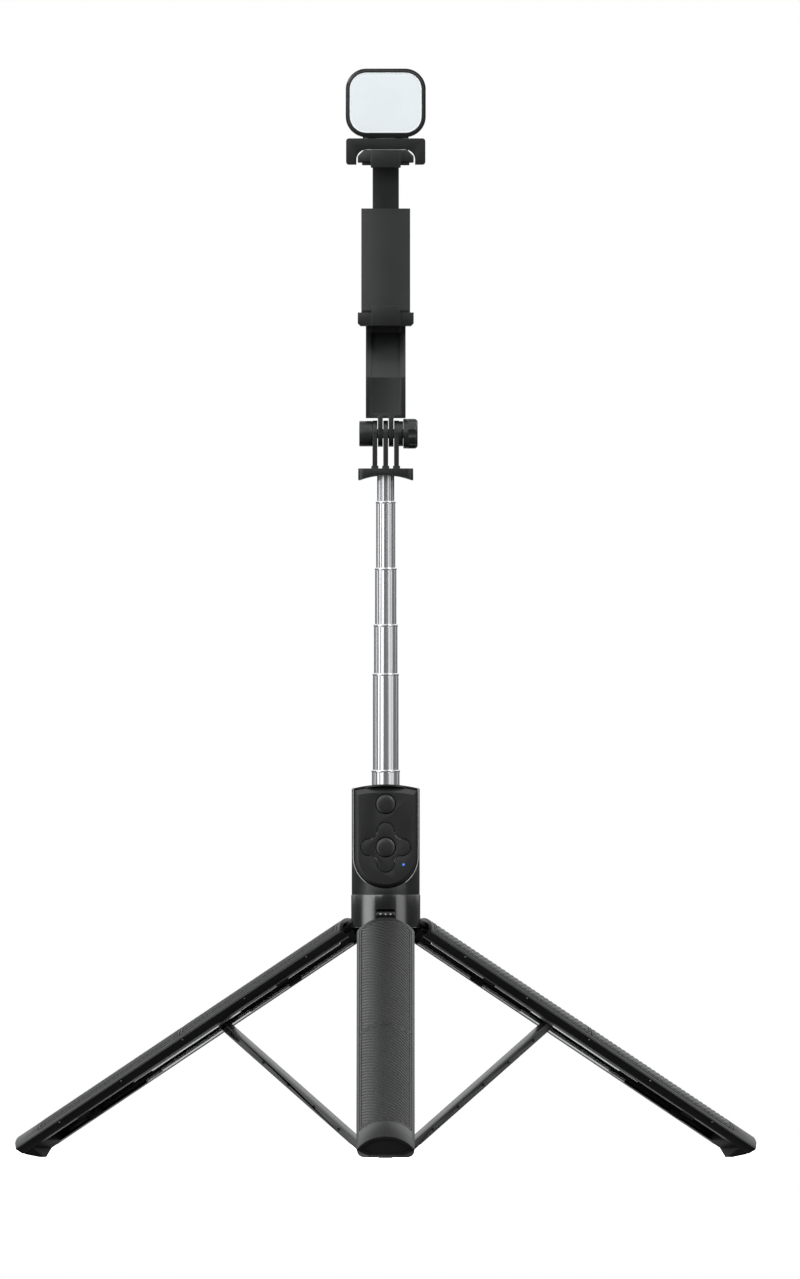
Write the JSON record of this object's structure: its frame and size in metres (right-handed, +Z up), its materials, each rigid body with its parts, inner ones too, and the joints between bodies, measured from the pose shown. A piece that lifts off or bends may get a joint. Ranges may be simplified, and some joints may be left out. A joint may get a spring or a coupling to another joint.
{
  "type": "tripod selfie stick",
  "caption": "Folding tripod selfie stick with a telescopic steel mast, a tilting and swivelling phone clamp, a clip-on fill light and a detachable remote in the handle.",
  "frame": {"origin": "centre of the hub's flat underside, on the mast axis, on the ground that the open legs stand on", "axes": "+Z up along the mast, -Y towards the user and along the front leg, +X to the user's right"},
  "size_m": [0.3966, 0.3478, 0.5792],
  "materials": {
    "matte_black": "satin moulded",
    "gloss_black": "polished",
    "dark_grey": "fine matte",
    "grip_rubber": "ribbed",
    "foot_rubber": "matte",
    "black_metal": "satin black",
    "bright_steel": "polished",
    "brushed_steel": "brushed",
    "white_plastic": "natural",
    "diffuser": "frosted",
    "circuit": "lacquered"
  },
  "bodies": {
    "handle": {"handle_body": "matte_black", "collar": "gloss_black", "leg_yoke": "matte_black", "hinge_pins": "brushed_steel", "tube_1": "bright_steel"},
    "leg_front": {"front_leg_shell": "matte_black", "front_leg_grip_pads": "grip_rubber", "front_leg_frame": "black_metal", "front_leg_rail": "brushed_steel", "front_leg_foot": "foot_rubber", "front_leg_strut_pin": "brushed_steel"},
    "strut_front": {"front_strut": "black_metal"},
    "leg_left": {"left_leg_shell": "matte_black", "left_leg_grip_pads": "grip_rubber", "left_leg_frame": "black_metal", "left_leg_rail": "brushed_steel", "left_leg_foot": "foot_rubber", "left_leg_strut_pin": "brushed_steel"},
    "strut_left": {"left_strut": "black_metal"},
    "leg_right": {"right_leg_shell": "matte_black", "right_leg_grip_pads": "grip_rubber", "right_leg_frame": "black_metal", "right_leg_rail": "brushed_steel", "right_leg_foot": "foot_rubber", "right_leg_strut_pin": "brushed_steel"},
    "strut_right": {"right_strut": "black_metal"},
    "hub": {"hub": "matte_black", "hub_pins": "brushed_steel"},
    "mast_2": {"tube_2": "bright_steel", "glide_2": "white_plastic"},
    "mast_3": {"tube_3": "bright_steel", "glide_3": "white_plastic"},
    "mast_4": {"tube_4": "bright_steel", "glide_4": "white_plastic"},
    "mast_5": {"tube_5": "bright_steel", "glide_5": "white_plastic"},
    "mast_6": {"tube_6": "bright_steel", "glide_6": "white_plastic", "head_bracket": "matte_black", "head_nut": "matte_black"},
    "knob": {"thumb_knob": "matte_black"},
    "arm": {"holder_arm": "matte_black", "swivel_screw": "brushed_steel"},
    "clamp": {"clamp_body": "matte_black", "lower_pad": "foot_rubber", "clamp_springs": "bright_steel"},
    "clamp_top": {"clamp_slider": "matte_black", "upper_pad": "foot_rubber"},
    "light_saddle": {"light_bracket": "matte_black"},
    "light": {"light_shell": "gloss_black", "light_diffuser": "diffuser", "led_board": "white_plastic"},
    "light_switch": {"light_button": "dark_grey"},
    "remote": {"remote_front": "dark_grey", "remote_back": "dark_grey", "remote_board": "circuit"},
    "shutter": {"shutter_button": "dark_grey"},
    "ok": {"ok_button": "dark_grey"},
    "gimbal": {"dpad_gimbal": "white_plastic"},
    "rocker": {"dpad": "dark_grey"}
  },
  "joints": [
    {"name": "legs_fold", "type": "hinge", "parent": "handle", "child": "leg_front", "pos_m": [0, -0.0155, 0.1292], "axis": [1, 0, 0], "range_deg": [0, 60]},
    {"name": "left_leg_fold", "type": "hinge", "parent": "handle", "child": "leg_left", "pos_m": [-0.01342, 0.00775, 0.1292], "axis": [-0.5, -0.866, 0], "range_deg": [0, 60]},
    {"name": "right_leg_fold", "type": "hinge", "parent": "handle", "child": "leg_right", "pos_m": [0.01342, 0.00775, 0.1292], "axis": [-0.5, 0.866, 0], "range_deg": [0, 60]},
    {"name": "front_strut_swing", "type": "hinge", "parent": "leg_front", "child": "strut_front", "pos_m": [0, -0.10311, 0.07354], "axis": [1, 0, 0], "range_deg": [-113.27, 0.5]},
    {"name": "left_strut_swing", "type": "hinge", "parent": "leg_left", "child": "strut_left", "pos_m": [-0.08929, 0.05155, 0.07354], "axis": [-0.5, -0.866, 0], "range_deg": [-113.27, 0.5]},
    {"name": "right_strut_swing", "type": "hinge", "parent": "leg_right", "child": "strut_right", "pos_m": [0.08929, 0.05155, 0.07354], "axis": [-0.5, 0.866, 0], "range_deg": [-113.27, 0.5]},
    {"name": "hub_level", "type": "hinge", "parent": "strut_front", "child": "hub", "pos_m": [0, -0.012, 0.0038], "axis": [1, 0, 0], "range_deg": [-0.5, 53.27]},
    {"name": "mast_slide_2", "type": "slide", "parent": "handle", "child": "mast_2", "axis": [0, 0, 1], "range_m": [-0.0499, 0.1046]},
    {"name": "mast_slide_3", "type": "slide", "parent": "mast_2", "child": "mast_3", "axis": [0, 0, 1], "range_m": [-0.0246, 0.1299]},
    {"name": "mast_slide_4", "type": "slide", "parent": "mast_3", "child": "mast_4", "axis": [0, 0, 1], "range_m": [-0.0286, 0.1259]},
    {"name": "mast_slide_5", "type": "slide", "parent": "mast_4", "child": "mast_5", "axis": [0, 0, 1], "range_m": [-0.034, 0.1205]},
    {"name": "mast_slide_6", "type": "slide", "parent": "mast_5", "child": "mast_6", "axis": [0, 0, 1], "range_m": [-0.0118, 0.142]},
    {"name": "knob_turn", "type": "hinge", "parent": "mast_6", "child": "knob", "pos_m": [0, 0, 0.385], "axis": [1, 0, 0], "range_deg": [0, 180]},
    {"name": "head_tilt", "type": "hinge", "parent": "mast_6", "child": "arm", "pos_m": [0, 0, 0.385], "axis": [1, 0, 0], "range_deg": [-90, 90]},
    {"name": "clamp_swivel", "type": "hinge", "parent": "arm", "child": "clamp", "pos_m": [0, 0.01, 0.4895], "axis": [0, 1, 0], "range_deg": [-90, 90]},
    {"name": "clamp_open", "type": "slide", "parent": "clamp", "child": "clamp_top", "axis": [0, 0, 1], "range_m": [-0.018, 0.013], "deforming": ["clamp_springs"]},
    {"name": "light_lift_off", "type": "slide", "parent": "clamp_top", "child": "light_saddle", "axis": [0, 0, 1], "range_m": [0, 0.02]},
    {"name": "light_tilt", "type": "hinge", "parent": "light_saddle", "child": "light", "pos_m": [0, 0.0076, 0.5446], "axis": [-1, 0, 0], "range_deg": [0, 90]},
    {"name": "light_press", "type": "slide", "parent": "light", "child": "light_switch", "axis": [0, -1, 0], "range_m": [0, 0.0005], "stiffness_N_per_m": 800},
    {"name": "remote_detach", "type": "slide", "parent": "handle", "child": "remote", "axis": [0, -1, 0], "range_m": [0, 0.02]},
    {"name": "shutter_press", "type": "slide", "parent": "remote", "child": "shutter", "axis": [0, 1, 0], "range_m": [0, 0.0006], "stiffness_N_per_m": 800},
    {"name": "ok_press", "type": "slide", "parent": "remote", "child": "ok", "axis": [0, 1, 0], "range_m": [0, 0.0006], "stiffness_N_per_m": 800},
    {"name": "dpad_rock_up_down", "type": "hinge", "parent": "remote", "child": "gimbal", "pos_m": [0, -0.0154, 0.1648], "axis": [1, 0, 0], "range_deg": [-2, 2], "stiffness_Nm_per_rad": 0.5},
    {"name": "dpad_rock_left_right", "type": "hinge", "parent": "gimbal", "child": "rocker", "pos_m": [0, -0.0154, 0.1648], "axis": [0, 0, 1], "range_deg": [-2, 2], "stiffness_Nm_per_rad": 0.5}
  ],
  "couplings": [
    {"joint": "left_leg_fold", "follows": "legs_fold", "ratio": 1},
    {"joint": "right_leg_fold", "follows": "legs_fold", "ratio": 1},
    {"joint": "front_strut_swing", "follows": "legs_fold", "ratio": -1.8794},
    {"joint": "left_strut_swing", "follows": "legs_fold", "ratio": -1.8794},
    {"joint": "right_strut_swing", "follows": "legs_fold", "ratio": -1.8794},
    {"joint": "hub_level", "follows": "legs_fold", "ratio": 0.87945}
  ]
}
